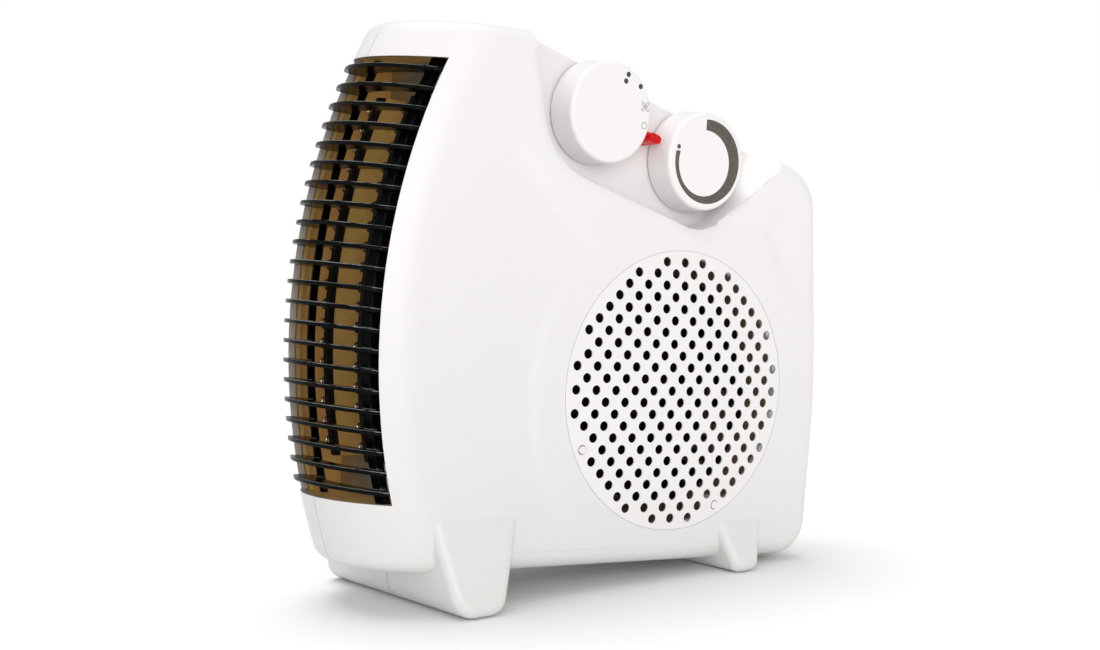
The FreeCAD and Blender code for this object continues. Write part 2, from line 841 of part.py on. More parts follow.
def end_plate(name, web, flange):
    left = bow_at(s.element_bow - s.end_plate_setback, flange + s.end_plate_inset / 2)
    length = -s.element_back + s.end_plate_sheet - left
    width = rear_board_y + s.board_thickness / 2 - s.end_plate_margin
    solids = [
        block(name + "_web", length, width, s.end_plate_sheet, left, s.end_plate_margin, web),
        block(name + "_flange", s.end_plate_sheet, width, s.end_plate_inset,
              left, s.end_plate_margin, flange),
        block(name + "_back", s.end_plate_sheet, width, s.end_plate_inset,
              left + length - s.end_plate_sheet, s.end_plate_margin, flange),
    ]
    return piece(fuse(name, solids))


def element():
    bottom, top = element_ends()
    end_plate("top_end_plate", top, top)
    end_plate("bottom_end_plate", bottom - s.end_plate_sheet, bottom - s.end_plate_inset)
    inner = n.element_bow - n.rail_depth
    for side, y in (("front", n.front_board_y), ("rear", float(rear_board_y))):
        bowed_bar(f"{side}_mica_board", inner, 0, y, n.board_thickness, bottom, top)
        bowed_bar(f"{side}_element_rail", n.element_bow, inner, y, n.rail_width, bottom, top)


def heat_wire(name, y):
    bottom, top = element_ends()
    rows = int(n.wire_rows)
    low = bottom.number + n.wire_margin
    pitch = (top.number - bottom.number - 2 * n.wire_margin) / (rows - 1)
    bend = pitch / 2
    right = -n.element_back - bend
    level = y + n.rail_width / 2 + n.wire_radius + n.clearance / 2
    edges = []
    for row in range(rows):
        z = low + row * pitch
        pair = measure(low + (row - row % 2 + 0.5) * pitch)
        left = bow_at(s.element_bow + s.wire_overhang, pair).number + bend
        start, end, outward = (right, left, -1) if row % 2 == 0 else (left, right, 1)
        edges.append(Part.makeLine(Vector(start, level, z), Vector(end, level, z)))
        if row < rows - 1:
            crown = Vector(end + outward * bend, level, z + bend)
            arc = Part.Arc(Vector(end, level, z), crown, Vector(end, level, z + pitch))
            edges.append(arc.toShape())
    path = Part.Wire(edges)
    ring = Part.Circle(Vector(right, level, low), Vector(1, 0, 0), n.wire_radius).toShape()
    print(name, "gap between turns", round(pitch - 2 * n.wire_radius, 3))
    return piece(form(name, path.makePipe(Part.Face(Part.Wire(ring)))))


def thermal_guards():
    bottom, top = element_ends()
    x = (bow_at(s.element_bow - s.end_plate_setback, top + s.end_plate_inset / 2) - s.element_back) / 2
    y = (s.front_board_y + rear_board_y) / 2 + 3
    body = rod("cutout_body", s.cutout_radius, s.cutout_height, x, y, top - s.cutout_height, upright)
    cap = rod("cutout_cap", s.cutout_radius - 2, 2, x, y, top - s.cutout_height - 2, upright)
    piece(fuse("thermal_cutout", [body, cap]))
    side = y - s.cutout_radius - s.fuse_radius - 1
    level = top - s.fuse_radius - 0.1
    can = rod("fuse_can", s.fuse_radius, s.fuse_length, x - s.fuse_length / 2, side, level, along_x)
    tail = rod("fuse_tail", s.fuse_radius / 4, s.fuse_length + 6, x - s.fuse_length / 2 - 3, side, level,
               along_x)
    piece(fuse("thermal_fuse", [can, tail]))


def dial(name, place):
    x, z = place
    top = s.dial_radius - s.dial_draft
    hub_end = s.scoop_depth - s.neck_length - s.dial_face - 0.6
    bore = s.spindle_radius + s.fit
    body = turned_body(name, [
        (0, 0),
        (top, 0),
        (s.dial_radius, s.dial_height),
        (s.dial_radius - s.dial_wall, s.dial_height),
        (top - s.dial_wall, s.dial_wall),
        (s.hub_radius, s.dial_wall),
        (s.hub_radius, hub_end),
        (bore, hub_end),
        (bore, s.dial_wall + 0.8),
        (0, s.dial_wall + 0.8),
    ])
    turning = body.Tip
    rims = []
    for index, edge in enumerate(turning.Shape.Edges, start=1):
        box = edge.BoundBox
        if box.YMax - box.YMin < 1e-6 and abs(box.YMax) < 1e-6 and box.XMax > n.hub_radius:
            rims.append(f"Edge{index}")
    rounding = body.newObject("PartDesign::Fillet", name + "_edge")
    rounding.Base = (turning, rims)
    bind(rounding, Radius=s.dial_edge)
    doc.recompute()
    body.Tip = rounding
    return piece(body, Placement(Vector(float(x), n.dial_face, float(z)), upright))


def spindle(name, place, end):
    x, z = place
    start = s.dial_face + s.dial_wall + 1
    bar = rod(name + "_bar", s.spindle_radius, end - start - 0.5, x, start, z)
    return piece(group(name, [bar]))


def neck(name, x, z):
    return rod(name, s.neck_radius, s.neck_length + s.wall, x, s.scoop_depth - s.neck_length, z)


def spindle_bore(name, x, z, end):
    start = s.scoop_depth - s.neck_length - 1
    return rod(name, s.spindle_radius + s.fit, end - start, x, start, z)


def selector_switch(place):
    x, z = place
    seat = s.scoop_depth + s.wall
    back = seat + s.switch_depth
    solids = [rod("switch_case", s.switch_radius, s.switch_depth, x, seat, z), neck("switch_neck", x, z)]
    for index in range(3):
        shift = (index - 1) * 8
        solids.append(block(f"switch_tab_{index}", s.tab_thickness, s.tab_length, s.tab_width,
                            x + shift, back, z - s.tab_width / 2))
    spindle("selector_spindle", place, back - 2)
    bore = spindle_bore("switch_bore", x, z, back - 2)
    return piece(cut("selector_switch", fuse("switch_solid", solids), [bore]))


def thermostat(place):
    x, z = place
    seat = s.scoop_depth + s.wall
    stack = s.switch_depth - 4
    back = seat + 2 + stack
    solids = [
        rod("thermostat_plate", s.switch_radius, 2, x, seat, z),
        rod("thermostat_stack", s.switch_radius - 5, stack, x, seat + 2, z),
        neck("thermostat_neck", x, z),
        block("thermostat_arm", s.tab_width, s.tab_thickness, s.switch_radius * 2, x - s.tab_width / 2,
              back - s.tab_thickness, z - s.switch_radius),
        block("thermostat_tab", s.tab_width, s.tab_length, s.tab_thickness, x - s.tab_width / 2, back,
              z - s.switch_radius),
    ]
    spindle("thermostat_spindle", place, back - 2)
    bore = spindle_bore("thermostat_bore", x, z, back - 2)
    return piece(cut("thermostat_body", fuse("thermostat_solid", solids), [bore]))


def neck_nut(name, place):
    x, z = place
    start = s.scoop_depth - s.nut_height
    body = hexagon(name + "_hex", s.nut_radius, s.nut_height, x, start, z)
    return piece(cut(name, body, [rod(name + "_thread", s.neck_radius + s.fit, 10, x, start - 5, z)]))


def lamp_lens():
    body = doc.addObject("PartDesign::Body", "lamp_lens")
    sketch = new_sketch(body, "lens_outline", "XZ_Plane")
    long = s.lens_length / 2
    wide = s.lens_width / 2
    tip = s.lens_tip / 2
    draw_polygon(sketch, [
        (-long, -tip), (-s.lens_shoulder, -wide), (s.lens_shoulder, -wide), (long, -tip),
        (long, tip), (s.lens_shoulder, wide), (-s.lens_shoulder, wide), (-long, tip),
    ])
    pad(body, sketch, s.scoop_depth - s.lens_top, True)
    stem = new_sketch(body, "lens_stem_outline", "XZ_Plane")
    draw_circle(stem, 0, 0, s.lens_stem)
    pad(body, stem, s.scoop_depth + s.wall + 1 - s.lens_top, True)
    x, z = lens_place()
    turn = Rotation(Vector(0, 1, 0), n.slope_angle)
    return piece(body, Placement(Vector(float(x), n.lens_top, float(z)), turn))


def neon_lamp():
    x, z = lens_place()
    start = s.scoop_depth + s.wall + 1.2
    bulb = rod("lamp_bulb", s.lamp_radius, s.lamp_length, x, start, z)
    sleeve = rod("lamp_sleeve", s.lamp_radius + 0.6, s.lamp_length / 2, x, start + s.lamp_length / 2, z)
    return piece(fuse("neon_lamp", [bulb, sleeve]))


def fan_wheel():
    body = doc.addObject("PartDesign::Body", "fan_wheel")
    plate_at = s.fan_width - s.fan_plate
    disc = new_sketch(body, "fan_plate_outline", "XZ_Plane")
    draw_circle(disc, 0, 0, s.fan_radius)
    draw_circle(disc, 0, 0, s.shaft_radius + s.fit)
    disc.AttachmentOffset = Placement(Vector(0, 0, -float(plate_at)), upright)
    pad(body, disc, s.fan_plate, True)
    hub = new_sketch(body, "fan_hub_outline", "XZ_Plane")
    draw_circle(hub, 0, 0, s.fan_hub)
    draw_circle(hub, 0, 0, s.shaft_radius + s.fit)
    hub.AttachmentOffset = Placement(Vector(0, 0, -n.fan_width + n.fan_hub_length), upright)
    pad(body, hub, s.fan_hub_length, True)
    ring = new_sketch(body, "fan_ring_outline", "XZ_Plane")
    draw_circle(ring, 0, 0, s.fan_radius)
    draw_circle(ring, 0, 0, s.fan_radius - s.fan_ring)
    pad(body, ring, s.fan_plate, True)
    vane = new_sketch(body, "fan_blade_outline", "XZ_Plane")
    outer = s.fan_radius - 0.8
    half = s.blade_thickness / 2
    draw_polygon(vane, [
        (s.blade_inner, -half),
        (outer, s.blade_lead - half),
        (outer, s.blade_lead + half),
        (s.blade_inner, half),
    ])
    blade = pad(body, vane, s.fan_width - s.fan_plate / 2, True)
    row = body.newObject("PartDesign::PolarPattern", "fan_blade_row")
    row.Originals = [blade]
    row.Axis = (vane, ["N_Axis"])
    row.Angle = 360
    row.Occurrences = int(n.fan_blades)
    doc.recompute()
    body.Tip = row
    return piece(body, Placement(Vector(0, n.fan_front, 0), upright))


def motor():
    front = s.bracket_front + s.bracket_sheet
    bore = s.shaft_radius + s.fit
    shell = s.motor_sheet
    can = turned_body("motor_can", [
        (bore, -s.bearing_length),
        (s.bearing_radius, -s.bearing_length),
        (s.bearing_radius, 0),
        (s.motor_radius, 0),
        (s.motor_radius, s.motor_length),
        (s.motor_radius - shell, s.motor_length),
        (s.motor_radius - shell, shell),
        (bore, shell),
    ])
    screw_ways = new_sketch(can, "motor_screw_ways", "XZ_Plane")
    for x in (-s.motor_screw_x, s.motor_screw_x):
        draw_circle(screw_ways, x, 0, s.small_screw + s.fit)
    drilling = can.newObject("PartDesign::Pocket", "motor_drilling")
    drilling.Profile = screw_ways
    drilling.Reversed = True
    bind(drilling, Length=(shell + 1) * 2)
    drilling.Midplane = True
    doc.recompute()
    can.Tip = drilling
    piece(can, Placement(Vector(0, float(front), 0), upright))
    back = front + s.motor_length
    cap = turned_body("motor_cap", [
        (bore, 0),
        (s.motor_radius, 0),
        (s.motor_radius, shell),
        (s.bearing_radius, shell),
        (s.bearing_radius, shell + s.bearing_length),
        (bore, shell + s.bearing_length),
    ])
    piece(cap, Placement(Vector(0, float(back), 0), upright))
    inside = front + shell
    room = s.motor_length - shell
    ring = rod("magnet_solid", s.motor_radius - shell, room - 2, 0, inside + 1, 0)
    ring_bore = s.motor_radius - shell - s.magnet_thickness
    piece(cut("motor_magnet", ring, [rod("magnet_bore", ring_bore, room + 4, 0, inside - 1, 0)]))
    core_at = inside + (room - s.rotor_length) / 2
    core = rod("rotor_solid", s.rotor_radius, s.rotor_length, 0, core_at, 0)
    core_bore = rod("rotor_bore", s.shaft_radius, s.rotor_length + 4, 0, core_at - 2, 0)
    piece(cut("motor_rotor", core, [core_bore]))
    shaft_at = s.fan_front + s.fan_width - s.fan_hub_length
    piece(group("motor_shaft", [rod("shaft_bar", s.shaft_radius, s.shaft_length, 0, shaft_at, 0)]))


def motor_bracket():
    length = (s.bracket_post + s.post_radius) * 2
    strap = block("bracket_strap", length, s.bracket_sheet, s.bracket_height,
                  -s.bracket_post - s.post_radius, s.bracket_front, -s.bracket_height / 2)
    holes = [rod("bracket_bore", s.bearing_radius + s.clearance, 10, 0, s.bracket_front - 5, 0)]
    for index, sign in enumerate((-1, 1)):
        holes.append(rod(f"bracket_way_{index}", s.screw_hole, 10,
                         s.bracket_post * sign, s.bracket_front - 5, 0))
        holes.append(rod(f"motor_way_{index}", s.small_screw + s.clearance, 10, s.motor_screw_x * sign,
                         s.bracket_front - 5, 0))
    return piece(cut("motor_bracket", strap, holes))


def fan_scroll():
    thick = n.scroll_sheet
    growth = n.scroll_growth
    radii = [n.scroll_radius, n.scroll_radius + growth, n.scroll_radius + 2 * growth]
    start = n.wall + n.seat_ring_depth + n.clearance
    centres = [
        Vector(0, start, growth / 2),
        Vector(0, start, -growth / 2),
        Vector(-growth, start, -growth / 2),
    ]
    turns = [(n.scroll_tongue, 90), (90, 0), (0, -90 - n.scroll_exit)]
    exit_way = math.radians(n.scroll_exit)

    def run(extra):
        edges = []
        for centre, radius, (begin, end) in zip(centres, radii, turns):
            points = []
            for angle in (begin, (begin + end) / 2, end):
                way = Vector(math.cos(math.radians(angle)), 0, math.sin(math.radians(angle)))
                points.append(centre + way * (radius + extra))
            edges.append(Part.Arc(*points).toShape())
        last = edges[-1].valueAt(edges[-1].LastParameter)
        fall = (last.x + n.liner_end - n.clearance) * math.tan(exit_way)
        tail = Vector(-n.liner_end + n.clearance, start, last.z + fall)
        first = edges[0].valueAt(edges[0].FirstParameter)
        return edges + [Part.makeLine(last, tail)], first, tail

    inner, inner_first, inner_tail = run(0)
    outer, outer_first, outer_tail = run(thick)
    closing = [Part.makeLine(inner_first, outer_first), Part.makeLine(inner_tail, outer_tail)]
    wire = Part.Wire(Part.__sortEdges__(inner + outer + closing))
    depth = n.case_depth - n.wall - n.clearance - start
    wall = Part.Face(wire).extrude(Vector(0, depth, 0))
    head = Vector(-n.liner_end + n.clearance, start, float(outlet_top))
    way = (inner_first - head).normalize()
    across = Vector(-way.z, 0, way.x) * thick
    corners = [head, inner_first, inner_first + across, head + across]
    baffle = Part.Face(Part.makePolygon(corners + corners[:1])).extrude(Vector(0, depth, 0))
    return piece(form("fan_scroll", wall.fuse(baffle).removeSplitter()))


def mains_entry():
    back = s.case_depth
    gland = turned_body("cord_gland", [
        (s.gland_bore, -s.gland_length + s.gland_flange_depth),
        (s.gland_radius, -s.gland_length + s.gland_flange_depth),
        (s.gland_radius, 0),
        (s.gland_flange, 0),
        (s.gland_flange - 1, s.gland_flange_depth),
        (s.gland_bore, s.gland_flange_depth),
    ])
    piece(gland, Placement(Vector(n.gland_x, float(back), -n.gland_drop), upright))
    top = back - s.wall - s.clamp_height
    bar = block("clamp_bar", s.clamp_width, s.clamp_thickness, s.clamp_length, s.gland_x - s.clamp_width / 2,
                top - s.clamp_thickness, -s.gland_drop - s.clamp_length / 2)
    ways = []
    for index, (x, z) in enumerate(clamp_places()):
        ways.append(rod(f"clamp_way_{index}", s.small_screw + s.clearance, 10, x, top - 5, z))
    piece(cut("cord_clamp", bar, ways))
    body = block("terminal_case", s.terminal_width, s.terminal_depth, s.terminal_height, s.terminal_x,
                 back - s.wall - s.terminal_depth, -s.terminal_height / 2)
    holes = []
    for index in range(3):
        z = (index - 1) * s.terminal_height / 3
        holes.append(rod(f"terminal_hole_{index}", s.terminal_hole, s.terminal_depth / 2,
                         s.terminal_x + s.terminal_width / 2, back - s.wall - s.terminal_depth - 1, z))
    piece(cut("terminal_block", body, holes))


def screw(name, radius, reach, head, head_height, x, seat, z, forwards):
    # a screw driven from the back has its head behind the seat, else before it
    if forwards:
        shank = rod(name + "_shank", radius, reach, x, seat - reach, z)
        crown = rod(name + "_head", head, head_height, x, seat, z)
    else:
        shank = rod(name + "_shank", radius, reach, x, seat, z)
        crown = rod(name + "_head", head, head_height, x, seat - head_height, z)
    return fuse(name, [shank, crown])


def screws():
    seat = mid + s.post_seat
    items = []
    for index, (x, z) in enumerate(post_places()):
        items.append(screw(f"case_screw_{index}", s.screw_radius, s.post_seat + s.screw_reach, s.screw_head,
                           s.screw_head_height, x, seat, z, True))
    piece(group("case_screws", items))
    front = s.bracket_front
    items = []
    for index, sign in enumerate((-1, 1)):
        items.append(screw(f"bracket_screw_{index}", s.screw_radius, s.screw_reach, s.screw_head,
                           s.small_head_height, s.bracket_post * sign, front, 0, False))
    piece(group("bracket_screws", items))
    items = []
    for index, sign in enumerate((-1, 1)):
        items.append(screw(f"motor_screw_{index}", s.small_screw, s.bracket_sheet + s.motor_sheet + 0.6,
                           s.small_head, s.small_head_height, s.motor_screw_x * sign, front, 0, False))
    piece(group("motor_screws", items))
    items = []
    seat = s.case_depth - s.wall - s.clamp_height - s.clamp_thickness
    for index, (x, z) in enumerate(clamp_places()):
        items.append(screw(f"clamp_screw_{index}", s.small_screw, s.clamp_height, s.small_head,
                           s.small_head_height, x, seat, z, False))
    piece(group("clamp_screws", items))


front_skin, rear_skin = casing_skins()
front_shell(front_skin)
rear_shell(rear_skin)
intake_grille()
grille_pins()
outlet_grille()
heat_liner()
element()
heat_wire("low_heat_wire", n.front_board_y)
heat_wire("high_heat_wire", float(rear_board_y))
thermal_guards()
selector_place, thermostat_place = dial_places()
dial("selector_knob", selector_place)
dial("thermostat_knob", thermostat_place)
selector_switch(selector_place)
thermostat(thermostat_place)
neck_nut("selector_nut", selector_place)
neck_nut("thermostat_nut", thermostat_place)
lamp_lens()
neon_lamp()
fan_wheel()
motor()
motor_bracket()
fan_scroll()
mains_entry()
screws()
doc.recompute()

for item in doc.Objects:
    if "Invalid" in item.State or "Error" in item.State:
        raise RuntimeError(f"{item.Name} did not build: {item.State}")

# Lean the casing on its feet, then centre it over the floor
lean = Placement(Vector(), Rotation(Vector(0, 1, 0), n.lean))
bounds = FreeCAD.BoundBox()
outside = ("front_shell", "rear_shell", "outlet_grille", "cord_gland")
for item, at in pieces:
    if item.Name not in outside:
        continue
    shape = item.Shape.copy()
    shape.Placement = lean.multiply(at)
    bounds.add(shape.optimalBoundingBox(False, False))
shift = Placement(Vector(-bounds.Center.x, -bounds.Center.y, -bounds.ZMin), upright)
stand = shift.multiply(lean)
os.makedirs("parts", exist_ok=True)
for item, at in pieces:
    item.Placement = stand.multiply(at)
    if not item.Shape.isValid() or not item.Shape.Solids:
        raise RuntimeError(f"{item.Label} is not a sound solid")
    item.Shape.exportStep(f"parts/{item.Label}.step")
    print(item.Label, len(item.Shape.Solids), round(item.Shape.Volume / 1000, 3))

print("size", [round(length, 2) for length in (bounds.XLength, bounds.YLength, bounds.ZLength)])
for name, x, y, z in (
    ("selector axis", selector_place[0], s.dial_face, selector_place[1]),
    ("thermostat axis", thermostat_place[0], s.dial_face, thermostat_place[1]),
    ("fan axis", 0, s.fan_front, 0),
    ("gland", s.gland_x, s.case_depth, -s.gland_drop),
):
    place = stand.multVec(Vector(float(x), float(y), float(z)))
    print(name, [round(value, 3) for value in place])
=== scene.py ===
import json
import math

import bpy
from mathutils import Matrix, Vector


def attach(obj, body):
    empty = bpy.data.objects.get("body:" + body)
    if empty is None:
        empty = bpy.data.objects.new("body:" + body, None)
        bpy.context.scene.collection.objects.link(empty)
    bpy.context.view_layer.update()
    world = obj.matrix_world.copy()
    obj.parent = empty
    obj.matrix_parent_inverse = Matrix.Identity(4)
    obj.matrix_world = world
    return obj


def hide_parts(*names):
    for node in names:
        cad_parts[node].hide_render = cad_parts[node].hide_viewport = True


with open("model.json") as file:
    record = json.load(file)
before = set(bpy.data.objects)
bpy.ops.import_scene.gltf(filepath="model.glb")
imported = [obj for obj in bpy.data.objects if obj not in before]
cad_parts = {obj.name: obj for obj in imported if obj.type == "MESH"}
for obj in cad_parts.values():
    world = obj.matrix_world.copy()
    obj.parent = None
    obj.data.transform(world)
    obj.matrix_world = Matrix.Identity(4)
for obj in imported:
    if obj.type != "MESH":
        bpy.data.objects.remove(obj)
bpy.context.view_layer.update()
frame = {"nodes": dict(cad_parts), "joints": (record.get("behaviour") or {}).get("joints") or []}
nodes = frame["nodes"]
joints = {joint["name"]: joint for joint in frame["joints"]}
print("frame loaded:", len(nodes), "nodes")

mm = 0.001
# the casing leans on its feet: its own millimetres start at the intake's centre on the front face
casing = {"lean": math.radians(4.2), "frontToFan": 0.012}
intakeCentre = Vector(joints["fan_spin"]["pos_m"]) - Vector((0, casing["frontToFan"], 0))


def fromCasing(x, y, z):
    c, s = math.cos(casing["lean"]), math.sin(casing["lean"])
    return intakeCentre + Vector((c * x + s * z, y, c * z - s * x)) * mm


def toCasing(point):
    c, s = math.cos(casing["lean"]), math.sin(casing["lean"])
    p = (point - intakeCentre) * 1000
    return Vector((c * p.x - s * p.z, p.y, c * p.z + s * p.x))


def pickOnly(thing):
    bpy.ops.object.select_all(action="DESELECT")
    thing.select_set(True)
    bpy.context.view_layer.objects.active = thing


class Flow:  # one output socket: sums on it add Math nodes
    def __init__(self, socket):
        self.socket = socket
        self.tree = socket.id_data

    def also(self, name):
        return Flow(self.socket.node.outputs[name])

    def math(self, operation, *values, clamp=False):
        settings = {"operation": operation, "use_clamp": clamp}
        return addNode(self.tree, "ShaderNodeMath", settings, dict(enumerate(values)))

    def __add__(self, other):
        return self.math("ADD", self, other)

    def __sub__(self, other):
        return self.math("SUBTRACT", self, other)

    def __rsub__(self, other):
        return self.math("SUBTRACT", other, self)

    def __mul__(self, other):
        return self.math("MULTIPLY", self, other)

    def __truediv__(self, other):
        return self.math("DIVIDE", self, other)

    def __pow__(self, other):
        return self.math("POWER", self, other)

    def __and__(self, other):
        return self.math("MINIMUM", self, other)

    def __or__(self, other):
        return self.math("MAXIMUM", self, other)

    def __abs__(self):
        return self.math("ABSOLUTE", self)

    __radd__ = __add__
    __rmul__ = __mul__


def addNode(tree, kind, settings=None, sockets=None):
    node = tree.nodes.new(kind)
    for name, value in (settings or {}).items():
        setattr(node, name, value)
    for name, value in (sockets or {}).items():
        if isinstance(value, Flow):
            tree.links.new(value.socket, node.inputs[name])
        else:
            node.inputs[name].default_value = value
    return Flow(node.outputs[0]) if node.outputs else None


def newMaterial(name):
    material = bpy.data.materials.new(name)
    material.use_nodes = True
    material.node_tree.nodes.clear()
    return material, material.node_tree


def finishMaterial(material, **sockets):
    tree = material.node_tree
    names = {name.replace("_", " "): value for name, value in sockets.items()}
    surface = addNode(tree, "ShaderNodeBsdfPrincipled", None, names)
    addNode(tree, "ShaderNodeOutputMaterial", None, {"Surface": surface})
    return material


def objectPoint(tree):
    return addNode(tree, "ShaderNodeTexCoord").also("Object")


def localPoint(tree, centre):  # x, y and z in casing millimetres from a centre
    settings = {"vector_type": "TEXTURE"}
    sockets = {"Vector": objectPoint(tree), "Location": centre, "Rotation": (0, casing["lean"], 0),
               "Scale": (mm, mm, mm)}
    point = addNode(tree, "ShaderNodeMapping", settings, sockets)
    parts = addNode(tree, "ShaderNodeSeparateXYZ", None, {0: point})
    return parts, parts.also("Y"), parts.also("Z")


def noise(tree, scale, detail=2.0, roughness=0.5, vector=None):
    sockets = {"Vector": vector or objectPoint(tree), "Scale": scale, "Detail": detail,
               "Roughness": roughness}
    return addNode(tree, "ShaderNodeTexNoise", None, sockets)


def mixColour(tree, amount, first, second):
    flow = addNode(tree, "ShaderNodeMix", {"data_type": "RGBA"}, {"Factor": amount, 6: first, 7: second})
    return flow.also(2)


def bump(tree, height, strength, distance):
    sockets = {"Height": height, "Strength": strength, "Distance": distance}
    return addNode(tree, "ShaderNodeBump", None, sockets)


def inside(distance, soft=0.08):  # 1 where a signed distance is below zero, with a soft edge
    return distance.math("MULTIPLY_ADD", distance, -1 / soft, 0.5, clamp=True)


def flatLength(x, z):
    return (x * x + z * z) ** 0.5


def shareBetween(value, start, end):  # 0 at start, 1 at end, held beyond them
    return value.math("DIVIDE", value - start, end - start, clamp=True)


# moulded white
plasticIor = 1.5
whitePlastic = {"colour": (0.750, 0.727, 0.725, 1), "shade": (0.733, 0.710, 0.706, 1), "roughness": 0.36,
                "grain": 1400.0, "grainDepth": 0.00004, "grainRough": 0.10, "grainBump": 0.25,
                "sink": 14.0, "sinkRough": 0.08, "sinkBump": 2.0}
# painted shade: the casing's colour darkens towards the floor
paintedFloorShade = {"low": (0.668, 0.656, 0.640, 1), "from": 100.0, "to": -100.0}
# the outlet end bows about a line from front to back; the rear wall's cut edge there carries a painted warm
# reflection of the gold liner
nose = {"axisX": 99.0, "axisZ": 24.0, "radius": 271.0, "leftOf": -90.0, "leftSoft": 4.0, "edgeY": 66.0,
        "edgeBand": 0.7, "edgeSoft": 0.3, "edgeInner": 259.0, "edgeOuter": 262.8,
        "reflectedWarm": (0.74, 0.60, 0.44, 1)}


# painted reflection: mask for the warm tint of the gold liner on the rear wall's cut edge
def paintedGoldReflection(x, y, z):
    reach = flatLength(x - nose["axisX"], z - nose["axisZ"])
    onCut = inside(abs(y - nose["edgeY"]) - nose["edgeBand"], nose["edgeSoft"])
    onCut = onCut * inside(x - nose["leftOf"], nose["leftSoft"])
    onCut = onCut * inside(nose["edgeInner"] - nose["edgeBand"] - reach, nose["edgeSoft"])
    return onCut * shareBetween(reach, nose["edgeOuter"], nose["edgeInner"])


def mouldedWhite(name, look, roughness, onCasing=False):
    material, tree = newMaterial(name)
    mottling = noise(tree, look["sink"], 3.0)
    colour = mixColour(tree, mottling, look["colour"], look["shade"])
    if onCasing:
        x, y, z = localPoint(tree, intakeCentre)
        # painted shade: darker towards the floor
        colour = mixColour(tree, shareBetween(z, paintedFloorShade["from"], paintedFloorShade["to"]), colour, paintedFloorShade["low"])
        # painted reflection of the gold liner on the cut edge
        colour = mixColour(tree, paintedGoldReflection(x, y, z), colour, nose["reflectedWarm"])
    grain = noise(tree, look["grain"], 2.0)
    rough = roughness + (grain - 0.5) * look["grainRough"] + (mottling - 0.5) * look["sinkRough"]
    height = grain + mottling * look["sinkBump"]
    return finishMaterial(material, Base_Color=colour, Roughness=rough, IOR=plasticIor,
                          Normal=bump(tree, height, look["grainBump"], look["grainDepth"]))


# moulded black
blackGrille = {"colour": (0.0015, 0.0015, 0.0016, 1), "worn": (0.004, 0.0045, 0.0045, 1), "roughness": 0.24,
               "grain": 1800.0, "grainDepth": 0.00004, "grainRough": 0.12, "grainBump": 0.3,
               "cloud": 60.0, "cloudRough": 0.18, "gloss": 0.05}
# painted glint: the louvres' upper rims, which face the light from above, are painted grey
paintedRimGlint = {"colour": (0.21, 0.23, 0.222, 1), "from": 0.30, "to": 0.92, "soft": 0.1, "least": 0.5,
             "cloudShare": 0.7}


# painted glint: picks the rim faces that tilt up towards the light
def litRimMask(tree):
    z = localPoint(tree, intakeCentre)[2]
    soft = paintedRimGlint["soft"]
    facing = addNode(tree, "ShaderNodeTexCoord").also("Normal")
    across = addNode(tree, "ShaderNodeSeparateXYZ", None, {0: facing})
    rise = across.also("Z") * math.cos(casing["lean"]) + across * math.sin(casing["lean"])
    bowed = rise - (z - nose["axisZ"]) / nose["radius"]  # zero on a face that follows the bow
    return inside(paintedRimGlint["from"] - bowed, soft) * inside(rise - paintedRimGlint["to"], soft)


def mouldedBlack(name, look, withRimGlint=False):
    material, tree = newMaterial(name)
    cloud = noise(tree, look["cloud"], 4.0)
    grain = noise(tree, look["grain"], 2.0)
    colour = mixColour(tree, cloud, look["colour"], look["worn"])
    if withRimGlint:
        # painted glint on the upper rims, varied by cloud
        glintShare = litRimMask(tree) * (paintedRimGlint["least"] + cloud * paintedRimGlint["cloudShare"])
        colour = mixColour(tree, glintShare, colour, paintedRimGlint["colour"])
    rough = look["roughness"] + (cloud - 0.5) * look["cloudRough"] + (grain - 0.5) * look["grainRough"]
    return finishMaterial(material, Base_Color=colour, Roughness=rough, IOR=plasticIor,
                          Specular_IOR_Level=look["gloss"],
                          Normal=bump(tree, grain, look["grainBump"], look["grainDepth"]))


# metals, boards, rails, the lens and the lamp
# painted light: the liner glows faintly in its own gold
goldSheet = {"gold": (0.86, 0.54, 0.17, 1), "pale": (0.92, 0.63, 0.25, 1), "dull": (0.72, 0.43, 0.12, 1),
             "across": 1.5, "along": 0.03, "streakRough": 0.2, "cloud": 30.0, "dullFrom": 0.35,
             "dullGain": 1.2, "roughness": 0.45, "metallic": 0.15, "paintedGlow": 0.07, "bump": 0.15,
             "bumpDepth": 0.0001}
brushedMetal = {"streak": 3.0, "streakRough": 0.22, "streakShare": 0.6, "cloud": 40.0, "darken": 0.72,
                "bump": 0.12, "bumpDepth": 0.00005}
pressedSolid = {"speckleFrom": 0.3, "speckleGain": 1.6, "gloss": 0.2, "grainRough": 0.2, "bump": 0.2,
                "bumpDepth": 0.0001}
# painted light: the red lens glows in its own colour
redLens = {"bright": (0.70, 0.0015, 0.003, 1), "deep": (0.34, 0.001, 0.002, 1), "cloud": 500.0,
           "roughness": 0.10, "cloudRough": 0.06, "ior": 1.49, "through": 0.35, "gloss": 0.12, "paintedGlow": 0.25}
neonGlass = {"clear": (0.95, 0.86, 0.78, 1), "tinted": (0.90, 0.74, 0.62, 1), "cloud": 300.0,
             "roughness": 0.04, "cloudRough": 0.04, "ior": 1.5, "through": 0.8}


